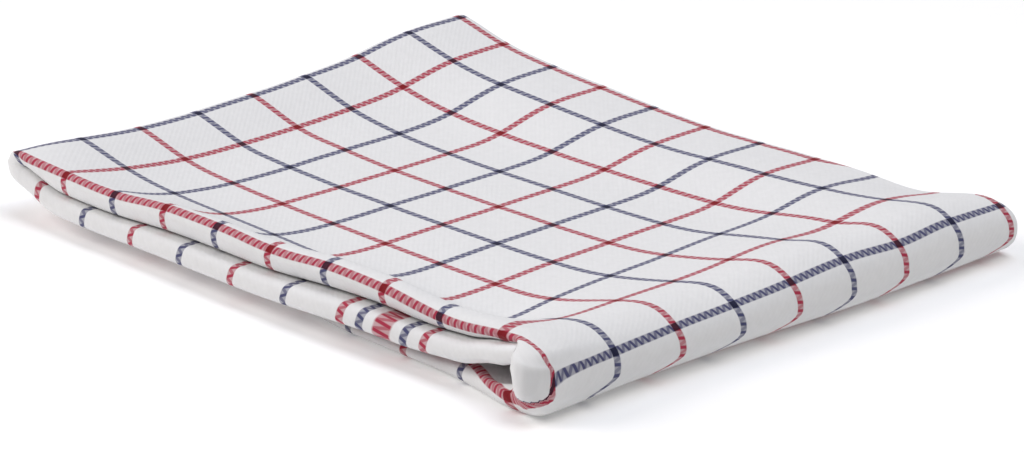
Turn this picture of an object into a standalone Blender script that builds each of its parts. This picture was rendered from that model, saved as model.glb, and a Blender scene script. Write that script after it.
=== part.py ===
import math

import bmesh
import bpy
from mathutils import Vector

# One woven tea towel. It is folded in thirds across its width into a long strip, and the strip
# is folded in thirds along its length, so nine layers of the same cloth lie on each other.
# X runs along the strip, Y runs across it from the front roll, and Z is up.
# Lengths are in metres, or in checks of the woven pattern where a name or a table says so.

CHECK = 0.022
CLOTH_THICK = 0.0010
LEAST_STACK = 0.0112
STACK_EASE = 0.0012
LAYER_STEPS = 8

BACK_ROLL_Y_CHECKS = 8.06
STRIP_Y_CHECKS = (0.0, 0.28, 0.60, 1.0, 1.6, 2.6, 3.8, 4.9, 5.7, 6.3, 6.9, 7.5)
FRONT_ROLL_FADE_CHECKS = 1.6
INNER_SELVEDGE_Y_CHECKS = 0.12
UNDER_SELVEDGE_Y_CHECKS = 7.95
FRONT_ROLL_TURNS = 6
BACK_ROLL_TURNS = 4

END_BEND_X_CHECKS = 9.27
END_BEND_SKEW = 0.04
END_BEND_REACH_CHECKS = 0.68
END_BEND_ARC_CHECKS = 1.85
END_BEND_SHRINK = 0.419
END_BEND_POWER = 2.5
END_BEND_BULGE = {"y": 5.6, "reach": 1.3, "rise": 0.07}
END_BEND_TURNS = 10

LEFT_BEND_X_CHECKS = 0.14
LEFT_BEND_REACH_CHECKS = 0.40
LEFT_BEND_SHRINK = 0.42
LEFT_BEND_ROLL_EASE = 0.6
LEFT_BEND_TURNS = 8

PANEL_X_CHECKS = (1.0, 1.8, 2.8, 4.0, 5.2, 6.4, 7.3, 8.0, 8.6)
MIDDLE_END_X_CHECKS = 9.28
MIDDLE_END_SQUEEZE = 0.15
BOTTOM_END_ALONG_CHECKS = 19.8
BOTTOM_SHARES = (0.0, 0.07, 0.15, 0.24, 0.35, 0.48, 0.61, 0.74, 0.87, 1.0)

# The stack swells over its flat middle at each edge. reach: how far in the swell fades.
# sharp: how suddenly. rise: heights at even steps along the edge. All in checks.
MIDDLE_HEIGHT_CHECKS = 0.39
EDGE_SWELLS = (
    {"edge": "left", "reach": 1.35, "sharp": 1.3, "rise": (0.69, 0.43, 0.46, 0.57, 0.62)},
    {"edge": "end", "reach": 1.40, "sharp": 1.8, "rise": (0.47, 0.41, 0.52, 0.37)},
    {"edge": "back", "reach": 1.80, "sharp": 4.0, "rise": (0.18, 0.31, 0.19, 0.19, 0.01)},
)

# The crest along the front: its height above the table at even steps in X up to crest end,
# and how it falls away behind, first at the left and then from half way along. In checks.
CREST_HEIGHTS = (0.91, 0.83, 0.88, 0.91, 0.86, 0.86)
CREST_END_X_CHECKS = 10.0
CREST_REACH = (0.85, 0.535)
CREST_SHARP = (1.2, 1.25)
CREST_FLAT = (0.0, 0.10)

# Soft dents and ridges in the top face. All in checks.
DENTS = (
    {"x": 8.8, "y": 8.2, "reach_x": 0.8, "reach_y": 0.8, "rise": -0.13},
    {"x": 7.5, "y": 2.0, "reach_x": 1.0, "reach_y": 0.8, "rise": -0.05},
    {"x": 8.2, "y": 5.4, "reach_x": 0.7, "reach_y": 1.7, "rise": 0.05},
)

# The front roll at even steps in X from the left bend to the end bend: where it begins in each
# panel, in checks, and how far it stands out, in layer gaps.
FRONT_ROLL = {
    "top": (0.08, 0.11, 0.17, 0.28, 0.27),
    "middle": (0.02, -0.02, -0.015, 0.065, 0.12),
    "bottom": (0.19, 0.15, 0.125, 0.085, 0.09),
    "depth": (0.8, 1.0, 1.25, 1.45, 1.5),
}

# How far the inner layers sink or lift along the front roll, as a share of the stack.
FRONT_LIFT = (
    {"x": 0.0, "lift": 0.08},
    {"x": 0.9, "lift": -0.08},
    {"x": 4.0, "lift": -0.10},
    {"x": 7.4, "lift": -0.05},
    {"x": 8.3, "lift": 0.03},
    {"x": 9.0, "lift": 0.10},
    {"x": 9.7, "lift": 0.02},
    {"x": 10.4, "lift": 0.00},
)
FRONT_LIFT_DEPTH_CHECKS = 1.1


def between(value, low, high):
    return max(low, min(high, value))


def smooth_row(share, values):
    place = between(share, 0.0, 1.0) * (len(values) - 1)
    left = min(int(place), len(values) - 2)
    part = place - left
    padded = (2 * values[0] - values[1],) + tuple(values) + (2 * values[-1] - values[-2],)
    a, b, c, d = padded[left:left + 4]
    curve = 2 * a - 5 * b + 4 * c - d + part * (3 * (b - c) + d - a)
    return b + 0.5 * part * (c - a + part * curve)


def body_height(x, y):
    inset = {
        "left": max(x, 0.0),
        "end": max(9.6 + END_BEND_SKEW * y - x, 0.0),
        "back": max(8.0 - y, 0.0),
    }
    height = MIDDLE_HEIGHT_CHECKS
    for swell in EDGE_SWELLS:
        share = y / 8.1 if swell["edge"] in ("left", "end") else x / 10.0
        fade = math.exp(-((inset[swell["edge"]] / swell["reach"]) ** swell["sharp"]))
        height += smooth_row(share, swell["rise"]) * fade
    for dent in DENTS:
        away = ((x - dent["x"]) / dent["reach_x"]) ** 2 + ((y - dent["y"]) / dent["reach_y"]) ** 2
        height += dent["rise"] * math.exp(-away)
    return height


def stack_height(x, y):
    """Height of the top face in checks, before the layers' own thickness limits it."""
    along = 2 * x / CREST_END_X_CHECKS
    crest_y = front_roll("top", x) + smooth_row(along, CREST_FLAT)
    behind = max(y - crest_y, 0.0) / smooth_row(along, CREST_REACH)
    fade = math.exp(-(behind ** smooth_row(along, CREST_SHARP)))
    crest = smooth_row(x / CREST_END_X_CHECKS, CREST_HEIGHTS)
    return body_height(x, y) + (crest - body_height(x, crest_y)) * fade


def stack_top(x, y):
    extra = stack_height(x, y) * CHECK - LEAST_STACK
    return LEAST_STACK + 0.5 * (extra + math.hypot(extra, STACK_EASE))


def layer_gap(x, y):
    return (stack_top(x, y) - CLOTH_THICK) / LAYER_STEPS


def front_lift_at(x, y):
    for near, far in zip(FRONT_LIFT, FRONT_LIFT[1:]):
        if x <= far["x"]:
            share = between((x - near["x"]) / (far["x"] - near["x"]), 0.0, 1.0)
            lift = near["lift"] + (far["lift"] - near["lift"]) * share * share * (3 - 2 * share)
            break
    else:
        lift = 0.0
    return lift * math.exp(-((max(y - 0.1, 0.0) / FRONT_LIFT_DEPTH_CHECKS) ** 2))


def layer_z(x, y, level):
    share = level / LAYER_STEPS
    share += front_lift_at(x, y) * math.sin(math.pi * share)
    return CLOTH_THICK / 2 + (stack_top(x, y) - CLOTH_THICK) * share


def front_roll(column, x):
    return smooth_row(x / END_BEND_X_CHECKS, FRONT_ROLL[column])


def round_off(turn, power):
    across = abs(math.cos(turn)) ** (2 / power)
    up = math.copysign(abs(math.sin(turn)) ** (2 / power), math.sin(turn))
    return across, up


def row_list():
    """One row of the cloth for each station along the strip, from the inner end to the outer."""
    rows = [{"panel": "middle", "x": MIDDLE_END_X_CHECKS}]
    rows += [{"panel": "middle", "x": x} for x in reversed(PANEL_X_CHECKS)]
    for k in range(LEFT_BEND_TURNS + 1):
        turn = math.pi * (k / LEFT_BEND_TURNS - 0.5)
        rows.append({"panel": "left bend", "turn": turn})
    rows += [{"panel": "top", "x": x} for x in PANEL_X_CHECKS]
    for k in range(END_BEND_TURNS + 1):
        turn = math.pi * (0.5 - k / END_BEND_TURNS)
        rows.append({"panel": "end bend", "turn": turn, "share": k / END_BEND_TURNS})
    rows += [{"panel": "bottom", "share": share} for share in BOTTOM_SHARES[1:]]
    return rows


def across_end_axis(out, along, y):
    """Turns a distance out from the end bend's axis into X and Y. The axis is a little skewed."""
    skew = math.atan(END_BEND_SKEW)
    down_axis = y / math.cos(skew) + along * math.tan(skew)
    x = END_BEND_X_CHECKS + out * math.cos(skew) + down_axis * math.sin(skew)
    return x, -out * math.sin(skew) + down_axis * math.cos(skew)


def end_squeeze(x, y):
    """1 at the front corner of the middle panel's free end, 0 away from it."""
    near_end = between(1 - (MIDDLE_END_X_CHECKS - x) / 1.0, 0.0, 1.0)
    return near_end * near_end * math.exp(-((max(y, 0.0) / 0.9) ** 2))


def place(row, y, depth):
    """X, Y and level of a point of a row. depth: 0 on the outer layer of the strip, 2 inside."""
    panel = row["panel"]
    if panel == "middle":
        squeeze = end_squeeze(row["x"], y)
        return row["x"], y, 5 + 0.2 * squeeze - (2 - depth) * (1 - MIDDLE_END_SQUEEZE * squeeze)
    if panel == "top":
        return row["x"], y, 8 - depth
    if panel == "left bend":
        across, up = round_off(row["turn"], 2)
        reach = LEFT_BEND_REACH_CHECKS * (1 - LEFT_BEND_SHRINK * depth)
        return LEFT_BEND_X_CHECKS - reach * across, y, 5.5 + (2.5 - depth) * up
    if panel == "end bend":
        across, up = round_off(row["turn"], END_BEND_POWER - 0.25 * depth)
        reach = END_BEND_REACH_CHECKS * (1 - END_BEND_SHRINK * depth)
        away = (y - END_BEND_BULGE["y"]) / END_BEND_BULGE["reach"]
        reach += END_BEND_BULGE["rise"] * math.exp(-(away ** 2))
        x, y = across_end_axis(reach * across, row["share"] * END_BEND_ARC_CHECKS, y)
        return x, y, 4 + (4 - depth) * up
    skew = math.atan(END_BEND_SKEW)
    whole = (BOTTOM_END_ALONG_CHECKS - END_BEND_X_CHECKS - END_BEND_SKEW * y) * math.cos(skew)
    out = (whole - END_BEND_ARC_CHECKS) * row["share"]
    x, y = across_end_axis(-out, END_BEND_ARC_CHECKS + out, y)
    return x, y, depth


def layer_spacing(row, y):
    """How far apart neighbouring layers of the strip lie at this row, in checks."""
    x, y, level = place(row, y, 1)
    upright = layer_gap(x, y) / CHECK
    if row["panel"] == "left bend":
        sideways = LEFT_BEND_REACH_CHECKS * LEFT_BEND_SHRINK * LEFT_BEND_ROLL_EASE
    elif row["panel"] == "end bend":
        sideways = END_BEND_REACH_CHECKS * END_BEND_SHRINK
    else:
        return upright
    return math.hypot(upright * math.sin(row["turn"]), sideways * math.cos(row["turn"]))


def strip_section(row):
    """Y and depth of each point across the cloth: inner third, back roll, outer third, front
    roll, and the third that wraps under."""
    station, panels, turned = row.get("x", 0.0), (row["panel"], row["panel"]), 0.0
    if row["panel"] == "left bend":
        panels, turned = ("middle", "top"), 0.5 + 0.5 * math.sin(row["turn"])
    elif row["panel"] == "end bend":
        station, panels, turned = END_BEND_X_CHECKS, ("top", "bottom"), row["share"]
    elif row["panel"] == "bottom":
        station = END_BEND_X_CHECKS * (1 - row["share"])
    front = front_roll(panels[0], station) * (1 - turned) + front_roll(panels[1], station) * turned
    back = BACK_ROLL_Y_CHECKS
    flat = [y + front * max(1 - y / FRONT_ROLL_FADE_CHECKS, 0.0) for y in STRIP_Y_CHECKS]
    points = [(front + INNER_SELVEDGE_Y_CHECKS, 1.0)]
    points += [(y, 1.0) for y in flat[1:]]
    points.append((back, 1.0))
    back_reach = 0.5 * layer_spacing(row, back)
    for k in range(1, BACK_ROLL_TURNS):
        turn = math.pi * (k / BACK_ROLL_TURNS - 0.5)
        points.append((back + back_reach * math.cos(turn), 0.5 - 0.5 * math.sin(turn)))
    points.append((back, 0.0))
    points += [(y, 0.0) for y in reversed(flat)]
    front_reach = front_roll("depth", station) * layer_spacing(row, front)
    for k in range(1, FRONT_ROLL_TURNS):
        turn = math.pi * (k / FRONT_ROLL_TURNS - 0.5)
        points.append((front - front_reach * math.cos(turn), 1.0 + math.sin(turn)))
    points += [(y, 2.0) for y in flat]
    points.append((UNDER_SELVEDGE_Y_CHECKS, 2.0))
    return points


def middle_surface():
    grid = []
    for row in row_list():
        line = []
        for y, depth in strip_section(row):
            px, py, level = place(row, y, depth)
            line.append(Vector((px * CHECK, py * CHECK, layer_z(px, py, level))))
        grid.append(line)
    return grid


def cloth_surface(name, grid):
    """Joins the rows with triangles whose long sides run the same way in every layer."""
    bm = bmesh.new()
    points = [[bm.verts.new(place) for place in line] for line in grid]
    for near, far in zip(points, points[1:]):
        for corners in zip(near, far, far[1:], near[1:]):
            slant = corners[2].co - corners[0].co
            if slant.x * slant.y < 0:
                corners = corners[1:] + corners[:1]
            bm.faces.new(corners[:3])
            bm.faces.new((corners[0], corners[2], corners[3]))
    mesh = bpy.data.meshes.new(name)
    bm.to_mesh(mesh)
    bm.free()
    return mesh


def centred(grid):
    """Moves the folded cloth so that it lies round the middle of its own outline."""
    points = [point for line in grid for point in line]
    middle_x = (min(p.x for p in points) + max(p.x for p in points)) / 2
    middle_y = (min(p.y for p in points) + max(p.y for p in points)) / 2
    return [[point - Vector((middle_x, middle_y, 0.0)) for point in line] for line in grid]


def woven_cotton():
    material = bpy.data.materials.new("woven_cotton")
    material.use_nodes = True
    shader = material.node_tree.nodes["Principled BSDF"]
    shader.inputs["Base Color"].default_value = (0.80, 0.80, 0.79, 1.0)
    shader.inputs["Roughness"].default_value = 0.92
    shader.inputs["Metallic"].default_value = 0.0
    return material


for thing in list(bpy.data.objects):
    bpy.data.objects.remove(thing, do_unlink=True)

towel = bpy.data.objects.new("tea_towel", cloth_surface("tea_towel", centred(middle_surface())))
towel.data.materials.append(woven_cotton())
towel.data.shade_smooth()
bpy.context.scene.collection.objects.link(towel)

thickness = towel.modifiers.new("cloth_thickness", "SOLIDIFY")
thickness.thickness = CLOTH_THICK
thickness.offset = 0.0
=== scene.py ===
import math

import bpy
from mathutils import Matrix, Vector, noise


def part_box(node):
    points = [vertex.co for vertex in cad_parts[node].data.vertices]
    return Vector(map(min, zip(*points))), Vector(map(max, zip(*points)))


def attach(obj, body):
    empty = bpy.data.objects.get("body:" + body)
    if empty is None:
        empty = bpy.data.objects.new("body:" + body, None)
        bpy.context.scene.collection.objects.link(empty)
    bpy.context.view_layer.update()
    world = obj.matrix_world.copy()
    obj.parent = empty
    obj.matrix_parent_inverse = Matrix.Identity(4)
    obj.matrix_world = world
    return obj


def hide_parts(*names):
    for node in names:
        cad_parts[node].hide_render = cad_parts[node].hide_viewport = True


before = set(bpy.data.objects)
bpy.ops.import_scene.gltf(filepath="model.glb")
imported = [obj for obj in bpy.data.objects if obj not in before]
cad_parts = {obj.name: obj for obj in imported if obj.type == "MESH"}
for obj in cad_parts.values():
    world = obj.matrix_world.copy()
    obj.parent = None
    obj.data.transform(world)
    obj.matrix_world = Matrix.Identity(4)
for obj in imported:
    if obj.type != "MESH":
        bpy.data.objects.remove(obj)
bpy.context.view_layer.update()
bpy.ops.object.select_all(action="DESELECT")
print("frame loaded")

# A tea towel folded in thirds across and in thirds along, so nine layers lie on each other.
# Lengths are in checks of the woven pattern where a name doesn't end in Metres.
# u runs along the towel and v across it; x runs along the folded strip, y across it, z is up.
# Levels count the layers from the table up: 0 to 2 are the bottom panel, 3 to 5 the middle one and
# 6 to 8 the top one. Depth counts the strip's own layers: 0 is its outer one and 2 is deep inside.

towel = {
    "checkMetres": 0.022,
    "clothMetres": 0.00075,
    "hemMetres": 0.0013,
    "hemWidth": 0.5,
    "hemEase": 0.08,                 # over what width the hem's thickness comes in
    "flatMetres": (0.539, 0.651),
    "leastStackMetres": 0.0083,
    "stackEaseMetres": 0.0008,       # how gently the stack's height stops at its least
    "topLevel": 8,                   # nine layers have eight gaps between them
    "foldMiddle": (5.008, 4.314),    # middle of the folded towel's outline
    "ends": (-9.8, 19.8),            # u of the two hemmed ends
    "selvedges": (-8.25, 16.25),     # v of the two woven edges
    "stripWidth": 8,
    "backRollY": 8.06,
    "underClear": 0.06,              # the under third stays this far from the back roll
    "innerClear": 0.12,              # and the inner third this far from the front roll
    "smoothDegrees": 50,
}

# the bends that join the panels: level is the middle of a bend's height and half is its outer
# layer's half height, in levels; power 2 is an ellipse and more is squarer
leftBend = {
    "x": 0.14,
    "reach": 0.40,
    "shrink": 0.42,                  # how much less each inner layer reaches
    "rollEase": 0.6,                 # how much of that gap its rolls along the edges keep
    "power": 2,
    "level": 5.5,
    "half": 2.5,
}

endBend = {
    "x": 9.27,
    "skew": 0.04,                    # its axis leans this far in x for each check of y
    "reach": 0.68,
    "shrink": 0.419,
    "arc": 1.85,                     # how much cloth the bend takes
    "power": 2.5,
    "innerPower": 0.25,              # how much rounder each inner layer is
    "level": 4,
    "half": 4,
    "bulge": {"at": 4.6, "reach": 2.6, "rise": 0.07},
    "foot": {"power": 1.6, "shrink": 0.10, "reach": 0.9},    # the front corner's foot is squarer
    "footOut": (0.0, -0.01, -0.06, -0.09, -0.03, 0.06, 0.07, 0.05, -0.03),
}

# the middle panel's free end: its front corner is lifted, squeezed and tucked into the end bend
middleEnd = {
    "x": 9.31,
    "level": 5,
    "over": 1,                       # how far from the end this begins
    "lift": 0.45,
    "squeeze": 0.15,
    "squeezeReach": 0.9,
    "tuck": 0.09,
    "tuckReach": 0.15,
}

# How high the stack stands, all in checks. A swell is highest at its edge and fades inwards.
relief = {
    "middle": 0.39,
    "span": (10.0, 8.1),             # the x and y that heights at even steps are spread over
    "edges": {"end": 9.6, "back": 8.0},
    "swells": (
        {"edge": "left", "reach": 1.35, "sharp": 1.3, "rise": (0.69, 0.43, 0.46, 0.57, 0.62)},
        {"edge": "end", "reach": 1.40, "sharp": 1.8, "rise": (0.47, 0.41, 0.52, 0.37)},
        {"edge": "back", "reach": 1.80, "sharp": 4.0, "rise": (0.18, 0.31, 0.19, 0.19, 0.01)},
    ),
    # the front crest: its height over the table at each check along x, and how it falls behind,
    # which changes over the first checks
    "crest": (0.91, 0.845, 0.82, 0.88, 0.88, 0.85, 0.90, 0.88, 0.83, 0.89, 0.86),
    "crestReach": (0.85, 0.51),
    "crestSharp": (1.2, 1.25),
    "crestFlat": (0.0, 0.01, 0.10),
    "crestChange": 5.0,
    # soft troughs and ridges: where, how far they reach, how high
    "creases": (
        {"at": (8.8, 8.2), "reach": (0.8, 0.8), "rise": -0.13},
        {"at": (1.1, 3.2), "reach": (0.7, 2.0), "rise": -0.05},
        {"at": (6.9, 1.6), "reach": (1.3, 0.8), "rise": -0.08},
        {"at": (7.9, 1.15), "reach": (0.8, 0.5), "rise": -0.12},
        {"at": (8.2, 5.4), "reach": (0.7, 1.7), "rise": 0.05},
        {"at": (9.2, 5.65), "reach": (0.55, 0.75), "rise": -0.10},
        {"at": (9.2, 3.7), "reach": (0.6, 1.0), "rise": -0.035},
        {"at": (7.2, 6.9), "reach": (1.7, 0.8), "rise": 0.045},
    ),
    # the stack is lower over the end bend, from this far before its axis and up to this y
    "endFall": {"drop": 0.05, "from": -0.2, "over": 0.7, "untilY": 6.9, "yEase": 1},
    "waveRise": 0.010,
    "waves": (
        {"share": 1.0, "length": 1.3, "place": 3.7},
        {"share": 0.5, "length": 0.585, "place": 9.2},
    ),
    # how far the cloth wanders sideways; a layer wanders almost as the one below it does
    "wander": {"reach": 0.006, "length": 1.9, "levelStep": 0.15, "places": (20, 40)},
}

# y where each panel's front roll begins, at even steps from the left bend to the end bend,
# and how far the roll stands out there, in layer gaps
frontRoll = {
    "top": (0.08, 0.07, 0.11, 0.15, 0.17, 0.23, 0.28, 0.28, 0.27),
    "middle": (0.02, -0.03, -0.02, -0.02, -0.015, 0.01, 0.065, 0.10, 0.12),
    "bottom": (0.19, 0.16, 0.15, 0.16, 0.125, 0.05, 0.09, 0.13, 0.01),
    "depth": (0.8, 0.9, 1.0, 1.1, 1.25, 1.4, 1.45, 1.5, 1.5),
}

# how far the inner layers sink or rise along the front roll, as a share of the stack
frontLift = {
    "flat": 0.1,
    "depth": 1.1,
    "x": (0.0, 0.9, 4.0, 7.4, 8.4, 9.0, 9.5, 10.4),
    "lift": (0.13, -0.10, -0.12, -0.07, 0.00, 0.12, 0.24, 0.00),
}

# along the front roll the top panel lies close on the middle one
pinch = {"share": 0.24, "level": 5.5, "reach": 2, "ease": 1, "flat": 0.1, "depth": 0.5}

# beside the end bend the bottom panel's layers lie pressed together behind their front roll
hollow = {
    "x": 9.1,
    "reach": 0.65,
    "behind": -0.08,
    "slope": 0.2,
    "untilY": 2.2,
    "yEase": 1,
    "belowLevel": 3,
    "levelEase": 1,
    "press": 0.5,
}

# How the woven checks lie askew on the folds, in checks. A rise or a fall is a pair: where it
# starts and how wide it is, or where it ends and how wide it is.
stray = {
    # across, on each panel, at even steps from the left bend to the end bend
    "top": (0.0, 0.0, 0.0, 0.0, 0.0, 0.0, 0.0, 0.0, -0.08),
    "middle": (-0.14, -0.14, -0.14, -0.14, -0.14, -0.14, -0.14, -0.14, -0.14),
    "bottom": (0.40, 0.40, 0.40, 0.40, 0.40, 0.44, 0.395, 0.31, 0.28),
    # along and across, near the two bends, at each check across the strip
    "leftBend": (0.11, -0.02, -0.04, -0.04, -0.04, -0.03, -0.04, -0.04, -0.07),
    "leftFall": (1, 1),
    "endBend": (-0.25, -0.11, -0.035, -0.035, -0.075, -0.095, -0.18, -0.165, -0.155),
    "endAcross": (0.0, 0.0, -0.05, -0.04, 0.0, 0.05, 0.07, 0.0, 0.0),
    "endRise": (8.6, 1.2),
    "middleAlong": 0.20,
    "bottomAlong": {"size": 0.09, "rise": (10.3, 0.7), "fall": (13.6, 2)},
    # the last line across slips behind the back roll
    "backHide": {"size": 0.15, "rise": (7, 0.7), "fall": (10, 0.6)},
    "backHideAcross": (7, 1),
    # round each bend, where turned goes from 0 to 1, one panel's stray gives way to the next one's
    "middleFall": (1, 1 / 3),
    "topFall": (1 / 3, 1 / 3),
    "bottomRise": (0.52, 0.2),
}

# round the end bend's front rim the cloth is bunched above and spread below, within a short way
# of the first line, and inside the rim it shows no line
rim = {
    "reach": 0.2,
    "bunch": {"size": 0.8, "rise": (0, 0.15), "fall": (0.62, 0.17)},
    "spread": {"size": 0.62, "rise": (0.49, 0.1), "fall": (1.3, 0.6)},
    "drop": {"size": 0.07, "rise": (0.55, 0.15), "fall": (1, 0.15)},
    "bottomSpread": 0.31,
    "bottomSpreadRise": (7.9, 0.8),
    "inside": (-0.02, 0.10),         # the v that the inside starts below, and how wide its edge is
    "turnRise": (0, 0.15),
    "bottomRise": (8.75, 0.5),
    "face": (9.77, 11.77),           # u shown inside the rim, above and below
    "faceChange": (0.86, 0.1),
    "hold": 0.9,                     # how nearly u is held there
}

# how finely the sheet is divided: rows along each panel and bend, columns across each third
division = {
    "rows": {"middle": 78, "left bend": 22, "top": 80, "end bend": 36, "bottom": 76},
    "columns": {"under": 34, "front roll": 24, "outer": 52, "back roll": 8, "inner": 34},
    "crowding": 0.6,                 # how much closer the columns stand near the two rolls
}


def between(value, low, high):
    return max(low, min(high, value))


def smooth(share):
    share = between(share, 0.0, 1.0)
    return share * share * (3 - 2 * share)


# 0 before the start and 1 from a width after it
def rising(value, start, width):
    return smooth((value - start) / width)


# 1 up to a width before the end and 0 from the end on
def falling(value, end, width):
    return smooth((end - value) / width)


def bell(away, reach):
    return math.exp(-((away / reach) ** 2))


def curveThrough(share, heights):
    place = between(share, 0.0, 1.0) * (len(heights) - 1)
    left = min(int(place), len(heights) - 2)
    part = place - left
    padded = (2 * heights[0] - heights[1],) + tuple(heights) + (2 * heights[-1] - heights[-2],)
    a, b, c, d = padded[left:left + 4]
    bend = 2 * a - 5 * b + 4 * c - d + part * (3 * (b - c) + d - a)
    return b + 0.5 * part * (c - a + part * bend)


def endAxisX(y):
    return endBend["x"] + endBend["skew"] * y


def rollFront(panel, x):
    return curveThrough(x / endBend["x"], frontRoll[panel])


# how high the stack stands away from its front crest
def bodyHeight(x, y):
    inset = {
        "left": max(x, 0.0),
        "end": max(relief["edges"]["end"] + endBend["skew"] * y - x, 0.0),
        "back": max(relief["edges"]["back"] - y, 0.0),
    }
    spanX, spanY = relief["span"]
    height = relief["middle"]
    for swell in relief["swells"]:
        share = x / spanX if swell["edge"] == "back" else y / spanY
        fade = math.exp(-((inset[swell["edge"]] / swell["reach"]) ** swell["sharp"]))
        height += curveThrough(share, swell["rise"]) * fade
    fall = relief["endFall"]
    lower = rising(x - endAxisX(y), fall["from"], fall["over"])
    height -= fall["drop"] * lower * falling(y, fall["untilY"], fall["yEase"])
    for crease in relief["creases"]:
        away = ((x - crease["at"][0]) / crease["reach"][0]) ** 2
        away += ((y - crease["at"][1]) / crease["reach"][1]) ** 2
        height += crease["rise"] * math.exp(-away)
    return height


def stackHeight(x, y):
    crestY = rollFront("top", x)
    share = between(x / relief["crestChange"], 0.0, 1.0)
    reach = curveThrough(share, relief["crestReach"])
    sharp = curveThrough(share, relief["crestSharp"])
    behind = max(y - crestY - curveThrough(share, relief["crestFlat"]), 0.0)
    fade = math.exp(-((behind / reach) ** sharp))
    height = bodyHeight(x, y)
    height += (curveThrough(x / relief["span"][0], relief["crest"]) - bodyHeight(x, crestY)) * fade
    wave = sum(w["share"] * noise.noise(Vector((x, y, w["place"])) / w["length"]) for w in relief["waves"])
    return height + relief["waveRise"] * wave


def stackTop(x, y):
    least = towel["leastStackMetres"]
    extra = stackHeight(x, y) * towel["checkMetres"] - least
    return least + 0.5 * (extra + math.hypot(extra, towel["stackEaseMetres"]))


def layerGap(x, y):
    return (stackTop(x, y) - towel["clothMetres"]) / towel["topLevel"] / towel["checkMetres"]


def liftAt(x, y):
    stations, lifts = frontLift["x"], frontLift["lift"]
    lift = lifts[0] if x < stations[0] else 0.0
    for k in range(len(stations) - 1):
        if stations[k] <= x <= stations[k + 1]:
            share = smooth((x - stations[k]) / (stations[k + 1] - stations[k]))
            lift = lifts[k] * (1 - share) + lifts[k + 1] * share
    return lift * bell(max(y - frontLift["flat"], 0.0), frontLift["depth"])


def pinchedLevel(y, level):
    share = pinch["share"] * bell(max(y - pinch["flat"], 0.0), pinch["depth"])
    above = level - pinch["level"]
    window = falling(abs(above), pinch["reach"], pinch["ease"])
    return level - share * window * math.sin(math.pi * above)


def pressedLevel(x, y, level):
    away = smooth(1 - abs(x - hollow["x"]) / hollow["reach"])
    away *= rising(y - rollFront("bottom", x), hollow["behind"], hollow["slope"])
    away *= falling(y, hollow["untilY"], hollow["yEase"])
    away *= falling(level, hollow["belowLevel"], hollow["levelEase"])
    return level * (1 - hollow["press"] * away)


def layerHeight(x, y, level):
    share = pressedLevel(x, y, pinchedLevel(y, level)) / towel["topLevel"]
    share += liftAt(x, y) * math.sin(math.pi * share)
    return towel["clothMetres"] / 2 + (stackTop(x, y) - towel["clothMetres"]) * share


# how far a bend stands out and up at a turn, as shares of its reach and its half height
def roundOff(turn, power):
    across = abs(math.cos(turn)) ** (2 / power)
    up = math.copysign(abs(math.sin(turn)) ** (2 / power), math.sin(turn))
    return across, up


# x and y of a point that lies out from the end bend's axis, where the cloth has run this far round
def acrossEndAxis(out, along, y):
    skew = math.atan(endBend["skew"])
    downAxis = y / math.cos(skew) + along * math.tan(skew)
    x = endBend["x"] + out * math.cos(skew) + downAxis * math.sin(skew)
    return x, -out * math.sin(skew) + downAxis * math.cos(skew)


def placeOnMiddle(share, y, depth):
    x = middleEnd["x"] + (leftBend["x"] - middleEnd["x"]) * share
    nearEnd = between(middleEnd["over"] - (middleEnd["x"] - x), 0.0, 1.0)
    squeeze = nearEnd * nearEnd * bell(max(y, 0.0), middleEnd["squeezeReach"])
    x += middleEnd["tuck"] * nearEnd * bell(max(y, 0.0), middleEnd["tuckReach"])
    below = (2 - depth) * (1 - middleEnd["squeeze"] * squeeze)
    return x, y, middleEnd["level"] + middleEnd["lift"] * squeeze - below


def placeOnEndBend(row, y, depth):
    foot, bulge = endBend["foot"], endBend["bulge"]
    nearCorner = bell(max(y, 0.0), foot["reach"]) if row["turn"] < 0 else 0.0
    power = endBend["power"] - endBend["innerPower"] * depth + foot["power"] * nearCorner
    across, up = roundOff(row["turn"], power)
    down = max(-up, 0.0)
    shrink = endBend["shrink"] - foot["shrink"] * nearCorner * down
    reach = endBend["reach"] * (1 - shrink * depth)
    reach += bulge["rise"] * bell(y - bulge["at"], bulge["reach"])
    reach += curveThrough(y / towel["stripWidth"], endBend["footOut"]) * down
    x, y = acrossEndAxis(reach * across, row["share"] * endBend["arc"], y)
    return x, y, endBend["level"] + (endBend["half"] - depth) * up


# x, y and level of a point of a row
def placeOnStrip(row, y, depth):
    panel, share = row["panel"], row["share"]
    if panel == "middle":
        return placeOnMiddle(share, y, depth)
    if panel == "left bend":
        across, up = roundOff(row["turn"], leftBend["power"])
        reach = leftBend["reach"] * (1 - leftBend["shrink"] * depth)
        return leftBend["x"] - reach * across, y, leftBend["level"] + (leftBend["half"] - depth) * up
    if panel == "top":
        return leftBend["x"] + (endAxisX(y) - leftBend["x"]) * share, y, towel["topLevel"] - depth
    if panel == "end bend":
        return placeOnEndBend(row, y, depth)
    slant = math.cos(math.atan(endBend["skew"]))
    out = ((towel["ends"][1] - endAxisX(y)) * slant - endBend["arc"]) * share
    x, y = acrossEndAxis(-out, endBend["arc"] + out, y)
    return x, y, depth


# how far apart neighbouring layers of the strip lie at a row
def layerSpacing(row, y):
    x, y, level = placeOnStrip(row, y, 1)
    upright = layerGap(x, y)
    if row["panel"] == "left bend":
        sideways = leftBend["reach"] * leftBend["shrink"] * leftBend["rollEase"]
    elif row["panel"] == "end bend":
        sideways = endBend["reach"] * endBend["shrink"]
    else:
        return upright
    return math.hypot(upright * math.sin(row["turn"]), sideways * math.cos(row["turn"]))


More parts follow.
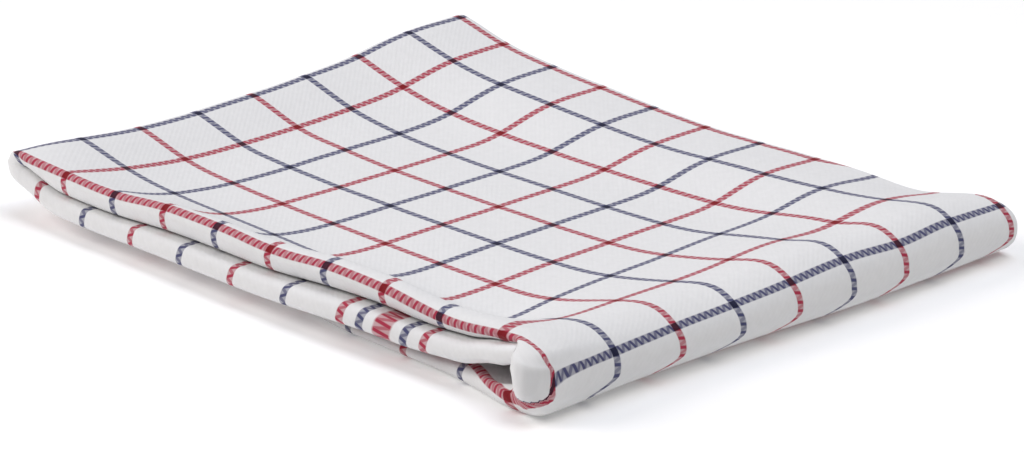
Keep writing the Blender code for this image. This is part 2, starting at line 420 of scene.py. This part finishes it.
# how far along the folded strip a row stands, and how far it has turned from one panel to the next
def stationOf(row):
    share = row["share"]
    if row["panel"] == "left bend":
        return 0.0, 0.5 + 0.5 * math.sin(row["turn"])
    if row["panel"] == "end bend":
        return endBend["x"], share
    if row["panel"] == "top":
        return endBend["x"] * share, 0.0
    return endBend["x"] * (1 - share), 0.0


def frontOf(row):
    x, turned = stationOf(row)
    joined = {"left bend": ("middle", "top"), "end bend": ("top", "bottom")}
    before, after = joined.get(row["panel"], (row["panel"], row["panel"]))
    return rollFront(before, x) * (1 - turned) + rollFront(after, x) * turned


# y and depth of each column of a row, from the under third's selvedge to the inner one's
def sectionOf(row):
    front, back = frontOf(row), towel["backRollY"]
    gapFront, gapBack = layerSpacing(row, front), layerSpacing(row, back)
    reachFront = rollFront("depth", stationOf(row)[0]) * gapFront
    arcFront = math.pi * math.sqrt((gapFront ** 2 + reachFront ** 2) / 2)
    arcBack = math.pi * 0.5 * gapBack
    underEnd = front + (front - arcFront - towel["selvedges"][0])
    underEnd = min(underEnd, back - towel["underClear"])
    innerEnd = back - (towel["selvedges"][1] - back - arcBack)
    innerEnd = max(innerEnd, front + towel["innerClear"])
    points = []
    for part, share in clothColumns:
        turn = math.pi * (share - 0.5)
        if part == "under":
            points.append((underEnd + (front - underEnd) * share, 2.0))
        elif part == "front roll":
            points.append((front - reachFront * math.cos(turn), 1.0 - math.sin(turn)))
        elif part == "outer":
            points.append((front + (back - front) * share, 0.0))
        elif part == "back roll":
            points.append((back + 0.5 * gapBack * math.cos(turn), 0.5 + 0.5 * math.sin(turn)))
        else:
            points.append((back + (innerEnd - back) * share, 1.0))
    return points


def crowd(share):
    return share - division["crowding"] * math.sin(2 * math.pi * share) / (2 * math.pi)


def listRows():
    rows = []
    for panel, count in division["rows"].items():
        first = 0 if not rows else 1
        for k in range(first, count + 1):
            row = {"panel": panel, "share": k / count}
            if panel == "left bend":
                row["turn"] = math.pi * (k / count - 0.5)
            if panel == "end bend":
                row["turn"] = math.pi * (0.5 - k / count)
            rows.append(row)
    return rows


def listColumns():
    columns = []
    for part, count in division["columns"].items():
        first = 0 if not columns else 1
        for k in range(first, count + 1):
            share = k / count
            columns.append((part, share if "roll" in part else crowd(share)))
    return columns


def foldedPoint(row, y, depth):
    x, y, level = placeOnStrip(row, y, depth)
    z = layerHeight(x, y, level)
    wander = relief["wander"]
    at = Vector((x, y, level * wander["levelStep"])) / wander["length"]
    x += wander["reach"] * noise.noise(at + Vector((0, 0, wander["places"][0])))
    y += wander["reach"] * noise.noise(at + Vector((0, 0, wander["places"][1])))
    check = towel["checkMetres"]
    return Vector((x * check, y * check, z))


# lengths measured along a run of points, in checks, so that points[start] has the given value
def measuredAlong(points, start, value):
    lengths = [0.0]
    for near, far in zip(points, points[1:]):
        lengths.append(lengths[-1] + (far - near).length / towel["checkMetres"])
    return [length - lengths[start] + value for length in lengths]


# where every point of the sheet lies once folded, and its u and v in the weave,
# which are measured over the outer layer so that the checks keep their size round each bend
def foldedSheet():
    sections = [sectionOf(row) for row in clothRows]
    places = [[foldedPoint(row, y, depth) for y, depth in section]
              for row, section in zip(clothRows, sections)]
    outer = [c for c, column in enumerate(clothColumns) if column[0] == "outer"]
    spine = outer[len(outer) // 2]
    top = [r for r, row in enumerate(clothRows) if row["panel"] == "top"]
    middleRow = top[len(top) // 2]
    spineY = sections[middleRow][spine][0]
    spineX = placeOnStrip(clothRows[middleRow], spineY, 0)[0]
    along = measuredAlong([line[spine] for line in places], middleRow, spineX)
    woven = []
    for row, section, line, u in zip(clothRows, sections, places, along):
        across = measuredAlong(line, spine, section[spine][0])
        fan = endBend["skew"] * skewShare(row)
        woven.append([strayed(row, u + fan * (y - spineY), v) for (y, depth), v in zip(section, across)])
    return places, woven


# how much of the end bend's lean a row has
def skewShare(row):
    shares = {"middle": 0.0, "left bend": 0.0, "top": row["share"], "end bend": 1.0}
    return shares.get(row["panel"], 1.0 - row["share"])


# the size of a stray where it has risen and not yet fallen
def sizeAt(window, value):
    return window["size"] * rising(value, *window["rise"]) * falling(value, *window["fall"])


def strayed(row, u, v):
    x, turned = stationOf(row)
    panel = row["panel"]
    if panel == "end bend":
        v += stray["top"][-1] * falling(turned, *stray["topFall"])
        v += stray["bottom"][-1] * rising(turned, *stray["bottomRise"])
        v += sizeAt(rim["drop"], turned)
        bunched = sizeAt(rim["bunch"], turned) - sizeAt(rim["spread"], turned)
        v += bunched * v * bell(v, rim["reach"])
    elif panel == "left bend":
        v += stray["middle"][0] * falling(turned, *stray["middleFall"])
        u += stray["middleAlong"] * (1 - turned)
    else:
        v += curveThrough(x / endBend["x"], stray[panel])
    if panel == "bottom":
        v -= rim["bottomSpread"] * rising(x, *rim["bottomSpreadRise"]) * v * bell(v, rim["reach"])
    if panel == "middle":
        u += stray["middleAlong"]
    if panel == "top":
        v -= sizeAt(stray["backHide"], u) * rising(v, *stray["backHideAcross"])
    if panel in ("end bend", "bottom"):
        u += sizeAt(stray["bottomAlong"], u)
        u = insideRim(panel, x, turned, u, v)
    nearEnd = rising(u, *stray["endRise"])
    u += curveThrough(v / towel["stripWidth"], stray["endBend"]) * nearEnd
    v += curveThrough(v / towel["stripWidth"], stray["endAcross"]) * nearEnd
    u += curveThrough(v / towel["stripWidth"], stray["leftBend"]) * falling(u, *stray["leftFall"])
    return u, v


# inside the end bend's rim u is held between two woven lines
def insideRim(panel, x, turned, u, v):
    above, below = rim["face"]
    inside = falling(v, *rim["inside"])
    if panel == "end bend":
        inside *= rising(turned, *rim["turnRise"])
        face = above + (below - above) * rising(turned, *rim["faceChange"])
    else:
        inside *= rising(x, *rim["bottomRise"])
        face = below
    return u + rim["hold"] * (face - u) * inside


# where the fold's own origin lies, so that the towel is in the middle of its solid's box
def foldOrigin():
    low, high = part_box("tea_towel")
    middle = Vector((towel["foldMiddle"][0], towel["foldMiddle"][1], 0.0))
    shift = (low + high) / 2 - middle * towel["checkMetres"]
    return Vector((shift.x, shift.y, 0.0))


# the two ends are doubled over into a hem, so the sheet is thicker there
def thickenCloth(cloth, wovenPlaces):
    group = cloth.vertex_groups.new(name="thickness")
    plain = towel["clothMetres"] / towel["hemMetres"]
    ends = min(place[0] for place in wovenPlaces), max(place[0] for place in wovenPlaces)
    for index, (u, v) in enumerate(wovenPlaces):
        inFromEnd = min(u - ends[0], ends[1] - u)
        hem = between((towel["hemWidth"] - inFromEnd) / towel["hemEase"], 0.0, 1.0)
        group.add([index], plain + (1 - plain) * hem, "REPLACE")
    thick = cloth.modifiers.new("cloth", "SOLIDIFY")
    thick.thickness = towel["hemMetres"]
    thick.offset = 0.0
    thick.vertex_group = "thickness"
    bpy.ops.object.modifier_apply(modifier=thick.name)
    for vertex in cloth.data.vertices:
        vertex.co.z = max(vertex.co.z, 0.0)


def makeTowel():
    places, woven = foldedSheet()
    rowCount, columnCount = len(places), len(places[0])
    origin = foldOrigin()
    bpy.ops.mesh.primitive_grid_add(x_subdivisions=columnCount - 1, y_subdivisions=rowCount - 1, size=1)
    cloth = bpy.context.object
    cloth.name = "checkedTowel"
    mesh = cloth.data
    for r in range(rowCount):
        for c in range(columnCount):
            mesh.vertices[r * columnCount + c].co = places[r][c] + origin
    uvMap = mesh.uv_layers.active or mesh.uv_layers.new()
    uvMap.name = "checks"
    for loop in mesh.loops:
        r, c = divmod(loop.vertex_index, columnCount)
        uvMap.data[loop.index].uv = woven[r][c]
    bpy.ops.object.mode_set(mode="EDIT")
    bpy.ops.mesh.select_all(action="SELECT")
    bpy.ops.mesh.normals_make_consistent(inside=False)
    bpy.ops.object.mode_set(mode="OBJECT")
    thickenCloth(cloth, [place for line in woven for place in line])
    bpy.ops.object.shade_smooth_by_angle(angle=math.radians(towel["smoothDegrees"]))
    return cloth


clothRows = listRows()
clothColumns = listColumns()
towelPiece = makeTowel()
print("towel folded,", len(towelPiece.data.polygons), "faces")


# woven checks: places and widths in checks, colours as the yarn's own
weave = {
    "ground": (0.75, 0.75, 0.75, 1.0),
    "red": (0.50, 0.032, 0.075, 1.0),
    "blue": (0.078, 0.082, 0.195, 1.0),
    "every": 2.0,                    # each colour comes at every second line
    "acrossLineWidth": 0.104,
    "alongLineWidth": 0.115,
    "acrossFloats": {"Dashes": 8.5, "Slant": 0.13, "Return": 0.50},
    "alongFloats": {"Dashes": 9.5, "Slant": 0.24, "Return": 0.7},
    "lineEdge": (1.12, 0.82),        # where a line fades out and is full, in half widths
    "strokes": (0.36, 0.86),         # where in a dash its two slanted strokes lie
    "strokeEdge": (0.27, 0.12),
    "strokeYarn": 0.44,              # how much colour the strokes add to the line's own
    "lineYarn": 0.55,
    "crossingYarn": 0.95,            # where two lines cross both are nearly solid
    "lineRise": 0.6,
    "bumpStrength": 0.25,
    "bumpMetres": 0.00012,
    "roughness": 0.92,
    "specular": 0.15,
    "sheen": 0.12,
    "sheenRoughness": 0.5,
}

# the border at each end: the distance of its stripes from the towel's middle and their widths
border = {
    "middle": 5.0,
    "start": 11.5,                   # from here on the along lines give way to the stripes
    "every": 40.0,                   # more than the towel's length, so a stripe comes once a side
    "stripes": (
        ("red", 12.0, 0.13),
        ("blue", 12.33, 0.13),
        ("red", 12.70, 0.30),
        ("blue", 13.07, 0.13),
        ("red", 13.40, 0.13),
    ),
}

# the plain thread and its slight slub
cotton = {
    "threadsPerCheck": 44.0,
    "diagonalShare": 0.25,
    "plainRise": 0.35,
    "diagonalRise": 0.45,
    "diagonalLight": 0.006,
    "slubScale": 9.0,
    "slubDetail": 5.0,
    "slubRise": 1.2,
    "slubLight": 0.10,
}


def newGroup(name, inputs, outputs):
    group = bpy.data.node_groups.new(name, "ShaderNodeTree")
    for label in inputs:
        group.interface.new_socket(name=label, in_out="INPUT", socket_type="NodeSocketFloat")
    for label in outputs:
        group.interface.new_socket(name=label, in_out="OUTPUT", socket_type="NodeSocketFloat")
    return group, group.nodes.new("NodeGroupInput"), group.nodes.new("NodeGroupOutput")


# gives a node's input a plain value or links it to a socket
def feed(tree, target, term):
    if isinstance(term, (int, float, tuple)):
        target.default_value = term
    else:
        tree.links.new(term, target)


def maths(tree, operation, *terms):
    node = tree.nodes.new("ShaderNodeMath")
    node.operation = operation
    for k, term in enumerate(terms):
        feed(tree, node.inputs[k], term)
    return node.outputs[0]


def softStep(tree, value, low, high):
    node = tree.nodes.new("ShaderNodeMapRange")
    node.interpolation_type = "SMOOTHSTEP"
    for label, term in (("Value", value), ("From Min", low), ("From Max", high)):
        feed(tree, node.inputs[label], term)
    return node.outputs["Result"]


def multipliedColour(tree, factor, first, second):
    node = tree.nodes.new("ShaderNodeMix")
    node.data_type = "RGBA"
    node.blend_type = "MULTIPLY"
    for index, term in ((0, factor), (6, first), (7, second)):
        feed(tree, node.inputs[index], term)
    return node.outputs[2]


def placeGroup(tree, group, values):
    node = tree.nodes.new("ShaderNodeGroup")
    node.node_tree = group
    for label, term in values.items():
        feed(tree, node.inputs[label], term)
    return node


# one family of parallel woven lines: a band broken into slanted floats of coloured yarn
def wovenLineGroup():
    group, given, result = newGroup(
        "wovenLine",
        ("Across", "Along", "Every", "Start", "Width", "Dashes", "Slant", "Return"),
        ("Yarn", "Band"),
    )
    across, along, every, start, width, dashes, slant, back = [given.outputs[k] for k in range(8)]
    offset = maths(group, "WRAP", maths(group, "SUBTRACT", across, start),
                   maths(group, "MULTIPLY", every, 0.5), maths(group, "MULTIPLY", every, -0.5))
    side = maths(group, "DIVIDE", offset, maths(group, "MULTIPLY", width, 0.5))
    band = softStep(group, maths(group, "ABSOLUTE", side), *weave["lineEdge"])
    step = maths(group, "FRACT", maths(group, "MULTIPLY", along, dashes))
    lean = maths(group, "MULTIPLY", side, slant)
    rise = maths(group, "SUBTRACT", step, maths(group, "ADD", lean, weave["strokes"][0]))
    fall = maths(group, "SUBTRACT", step, maths(group, "SUBTRACT", weave["strokes"][1], lean))
    strokes = []
    for distance in (rise, fall):
        wrapped = maths(group, "ABSOLUTE", maths(group, "WRAP", distance, 0.5, -0.5))
        strokes.append(softStep(group, wrapped, *weave["strokeEdge"]))
    floats = maths(group, "MAXIMUM", strokes[0], maths(group, "MULTIPLY", strokes[1], back))
    colour = maths(group, "MULTIPLY_ADD", floats, weave["strokeYarn"], weave["lineYarn"])
    group.links.new(maths(group, "MULTIPLY", band, colour), result.inputs["Yarn"])
    group.links.new(band, result.inputs["Band"])
    return group


# fine threads and the slight slub of cotton, as a height and a lightness
def cottonGroup():
    group, given, result = newGroup("cottonThread", ("Across", "Along", "Threads"), ("Height", "Lightness"))
    across, along, threads = [given.outputs[k] for k in range(3)]
    turns = maths(group, "MULTIPLY", threads, 2 * math.pi)
    waves = [maths(group, "SINE", maths(group, "MULTIPLY", place, turns)) for place in (across, along)]
    plain = maths(group, "MULTIPLY", waves[0], waves[1])
    slantTurns = maths(group, "MULTIPLY", turns, cotton["diagonalShare"])
    slanted = maths(group, "MULTIPLY", maths(group, "ADD", across, along), slantTurns)
    diagonal = maths(group, "SINE", slanted)
    place = group.nodes.new("ShaderNodeCombineXYZ")
    group.links.new(along, place.inputs[0])
    group.links.new(across, place.inputs[1])
    slub = group.nodes.new("ShaderNodeTexNoise")
    slub.inputs["Scale"].default_value = cotton["slubScale"]
    slub.inputs["Detail"].default_value = cotton["slubDetail"]
    group.links.new(place.outputs[0], slub.inputs["Vector"])
    mottle = maths(group, "SUBTRACT", slub.outputs["Fac"], 0.5)
    height = maths(group, "ADD", maths(group, "MULTIPLY", plain, cotton["plainRise"]),
                   maths(group, "MULTIPLY", diagonal, cotton["diagonalRise"]))
    height = maths(group, "ADD", height, maths(group, "MULTIPLY", mottle, cotton["slubRise"]))
    group.links.new(height, result.inputs["Height"])
    light = maths(group, "MULTIPLY_ADD", mottle, cotton["slubLight"], 1.0)
    light = maths(group, "MULTIPLY_ADD", diagonal, cotton["diagonalLight"], light)
    group.links.new(light, result.inputs["Lightness"])
    return group


lineGroup = wovenLineGroup()
threadGroup = cottonGroup()


def checkedCotton():
    material = bpy.data.materials.new("checkedCotton")
    material.use_nodes = True
    tree = material.node_tree
    shader = tree.nodes["Principled BSDF"]
    uvMap = tree.nodes.new("ShaderNodeUVMap")
    uvMap.uv_map = "checks"
    split = tree.nodes.new("ShaderNodeSeparateXYZ")
    tree.links.new(uvMap.outputs[0], split.inputs[0])
    u, v = split.outputs[0], split.outputs[1]
    fromMiddle = maths(tree, "ABSOLUTE", maths(tree, "SUBTRACT", u, border["middle"]))
    inField = maths(tree, "LESS_THAN", fromMiddle, border["start"])
    inBorder = maths(tree, "SUBTRACT", 1.0, inField)

    # (colour, across, along, every, start, width, where)
    repeat, thin, wide = weave["every"], weave["acrossLineWidth"], weave["alongLineWidth"]
    families = [
        ("red", v, u, repeat, 0.0, thin, None),
        ("blue", v, u, repeat, 1.0, thin, None),
        ("blue", u, v, repeat, 0.0, wide, inField),
        ("red", u, v, repeat, 1.0, wide, inField),
    ]
    for colour, start, width in border["stripes"]:
        families.append((colour, fromMiddle, v, border["every"], start, width, inBorder))
    acrossBand, alongBand = 0.0, 0.0
    masks = []
    for colour, across, along, every, start, width, where in families:
        floats = weave["acrossFloats"] if across is v else weave["alongFloats"]
        line = placeGroup(tree, lineGroup, {
            "Across": across, "Along": along, "Every": every, "Start": start, "Width": width, **floats})
        yarn, band = line.outputs["Yarn"], line.outputs["Band"]
        if where is not None:
            yarn, band = maths(tree, "MULTIPLY", yarn, where), maths(tree, "MULTIPLY", band, where)
        if across is v:
            acrossBand = maths(tree, "MAXIMUM", band, acrossBand)
        else:
            alongBand = maths(tree, "MAXIMUM", band, alongBand)
        masks.append((colour, yarn, band))
    crossing = maths(tree, "MULTIPLY", acrossBand, alongBand)

    threads = placeGroup(
        tree, threadGroup, {"Across": v, "Along": u, "Threads": cotton["threadsPerCheck"]})
    cloth = weave["ground"]
    for colour, yarn, band in masks:
        overlap = maths(tree, "MULTIPLY", maths(tree, "MULTIPLY", crossing, band), weave["crossingYarn"])
        solid = maths(tree, "MAXIMUM", yarn, overlap)
        cloth = multipliedColour(tree, solid, cloth, weave[colour])
    shade = multipliedColour(tree, 1.0, cloth, threads.outputs["Lightness"])
    tree.links.new(shade, shader.inputs["Base Color"])

    raised = maths(tree, "MAXIMUM", acrossBand, alongBand)
    height = maths(tree, "MULTIPLY_ADD", raised, weave["lineRise"], threads.outputs["Height"])
    bump = tree.nodes.new("ShaderNodeBump")
    bump.inputs["Strength"].default_value = weave["bumpStrength"]
    bump.inputs["Distance"].default_value = weave["bumpMetres"]
    tree.links.new(height, bump.inputs["Height"])
    tree.links.new(bump.outputs[0], shader.inputs["Normal"])
    shader.inputs["Roughness"].default_value = weave["roughness"]
    shader.inputs["Specular IOR Level"].default_value = weave["specular"]
    shader.inputs["Sheen Weight"].default_value = weave["sheen"]
    shader.inputs["Sheen Roughness"].default_value = weave["sheenRoughness"]
    return material


towelPiece.data.materials.clear()
towelPiece.data.materials.append(checkedCotton())
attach(towelPiece, "root")
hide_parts("tea_towel")
print("towel dressed")


# plain white table and soft studio light, in metres
studio = {
    "floorSize": 6.0,
    "floorColour": (0.90, 0.90, 0.90, 1.0),
    "floorRoughness": 0.9,
    "floorSpecular": 0.1,
    "glowColour": (1, 1, 1, 1),
    "floorGlow": 0.14,               # the table glows a little, as a lit white one does
    "skyColour": (1.0, 1.0, 1.0, 1.0),
    "skyStrength": 0.10,
    "lampAim": (0, 0, 0),
    "lamps": (
        {
            "name": "topSoftbox",
            "at": (0.0, 0.3, 1.5),
            "size": 1.2,
            "power": 8.4,
            "colour": (0.92, 1.0, 1.14),
        },
        {
            "name": "endSoftbox",
            "at": (0.7, 0.3, 1.3),
            "size": 1.2,
            "power": 8.6,
            "colour": (1.05, 1.0, 0.97),
        },
        {
            "name": "sideSoftbox",
            "at": (-0.9, -0.9, 0.9),
            "size": 1.0,
            "power": 15.5,
            "colour": (1.03, 0.985, 0.97),
        },
    ),
}


def makeFloor():
    bpy.ops.mesh.primitive_plane_add(size=studio["floorSize"], location=(0, 0, 0))
    floor = bpy.context.object
    floor.name = "paleTable"
    material = bpy.data.materials.new("paleTable")
    material.use_nodes = True
    shader = material.node_tree.nodes["Principled BSDF"]
    shader.inputs["Base Color"].default_value = studio["floorColour"]
    shader.inputs["Roughness"].default_value = studio["floorRoughness"]
    shader.inputs["Specular IOR Level"].default_value = studio["floorSpecular"]
    shader.inputs["Emission Color"].default_value = studio["glowColour"]
    shader.inputs["Emission Strength"].default_value = studio["floorGlow"]
    floor.data.materials.append(material)


def makeLamps():
    for lamp in studio["lamps"]:
        bpy.ops.object.light_add(type="AREA", location=lamp["at"])
        light = bpy.context.object
        light.name = lamp["name"]
        light.data.shape = "DISK"
        light.data.size = lamp["size"]
        light.data.energy = lamp["power"]
        light.data.color = lamp["colour"]
        aim = Vector(studio["lampAim"]) - Vector(lamp["at"])
        light.rotation_euler = aim.to_track_quat("-Z", "Y").to_euler()


def makeSky():
    world = bpy.context.scene.world or bpy.data.worlds.new("studio")
    bpy.context.scene.world = world
    world.use_nodes = True
    sky = world.node_tree.nodes["Background"]
    sky.inputs["Color"].default_value = studio["skyColour"]
    sky.inputs["Strength"].default_value = studio["skyStrength"]


# the camera stands in front of the towel's end corner and looks down on it
shot = {
    "target": (5.6965, 3.5645, 0.42),     # in checks, on the folded towel
    "back": (0.6715, -0.6603, 0.3362),
    "distanceMetres": 0.9324,
    "clipMetres": 0.01,
    "lens": 116.04,
    "sensorWidth": 36.0,
}


def makeCamera():
    back = Vector(shot["back"]).normalized()
    target = foldOrigin() + Vector(shot["target"]) * towel["checkMetres"]
    bpy.ops.object.camera_add(location=target + back * shot["distanceMetres"])
    camera = bpy.context.object
    camera.name = "shot"
    camera.rotation_euler = (-back).to_track_quat("-Z", "Y").to_euler()
    camera.data.lens = shot["lens"]
    camera.data.sensor_width = shot["sensorWidth"]
    camera.data.clip_start = shot["clipMetres"]
    bpy.context.scene.camera = camera


makeFloor()
makeLamps()
makeSky()
makeCamera()
bpy.context.scene.view_settings.view_transform = "Standard"
print("studio ready")
